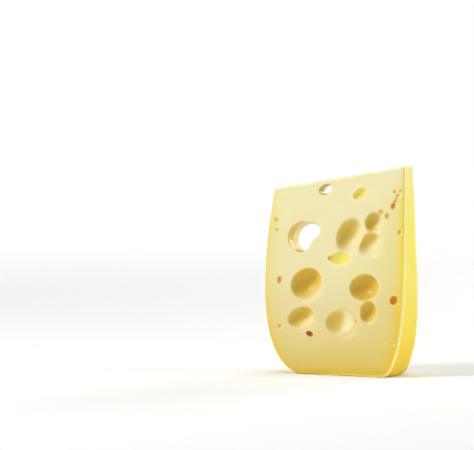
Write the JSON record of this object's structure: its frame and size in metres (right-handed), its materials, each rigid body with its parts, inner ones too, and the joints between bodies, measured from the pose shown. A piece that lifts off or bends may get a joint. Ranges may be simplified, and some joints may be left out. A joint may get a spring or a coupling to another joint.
{
  "type": "cheese wedge",
  "caption": "Slice of pale yellow hard cheese with round eyes, cut from a flat round wheel, standing on its rind-covered rim and narrowing towards the top.",
  "frame": {"origin": "under the middle of the slice, on the surface that its rim rests on", "axes": "+Z from the rim towards the wheel's centre, +X across the wheel's thickness, +Y towards the back cut face"},
  "size_m": [0.1234, 0.036, 0.1678],
  "materials": {
    "cheese": "moist, slightly translucent cream paste with golden eye walls, inside a bright yellow satin rind"
  },
  "bodies": {
    "root": {"cheese_wedge": "cheese"}
  },
  "joints": []
}
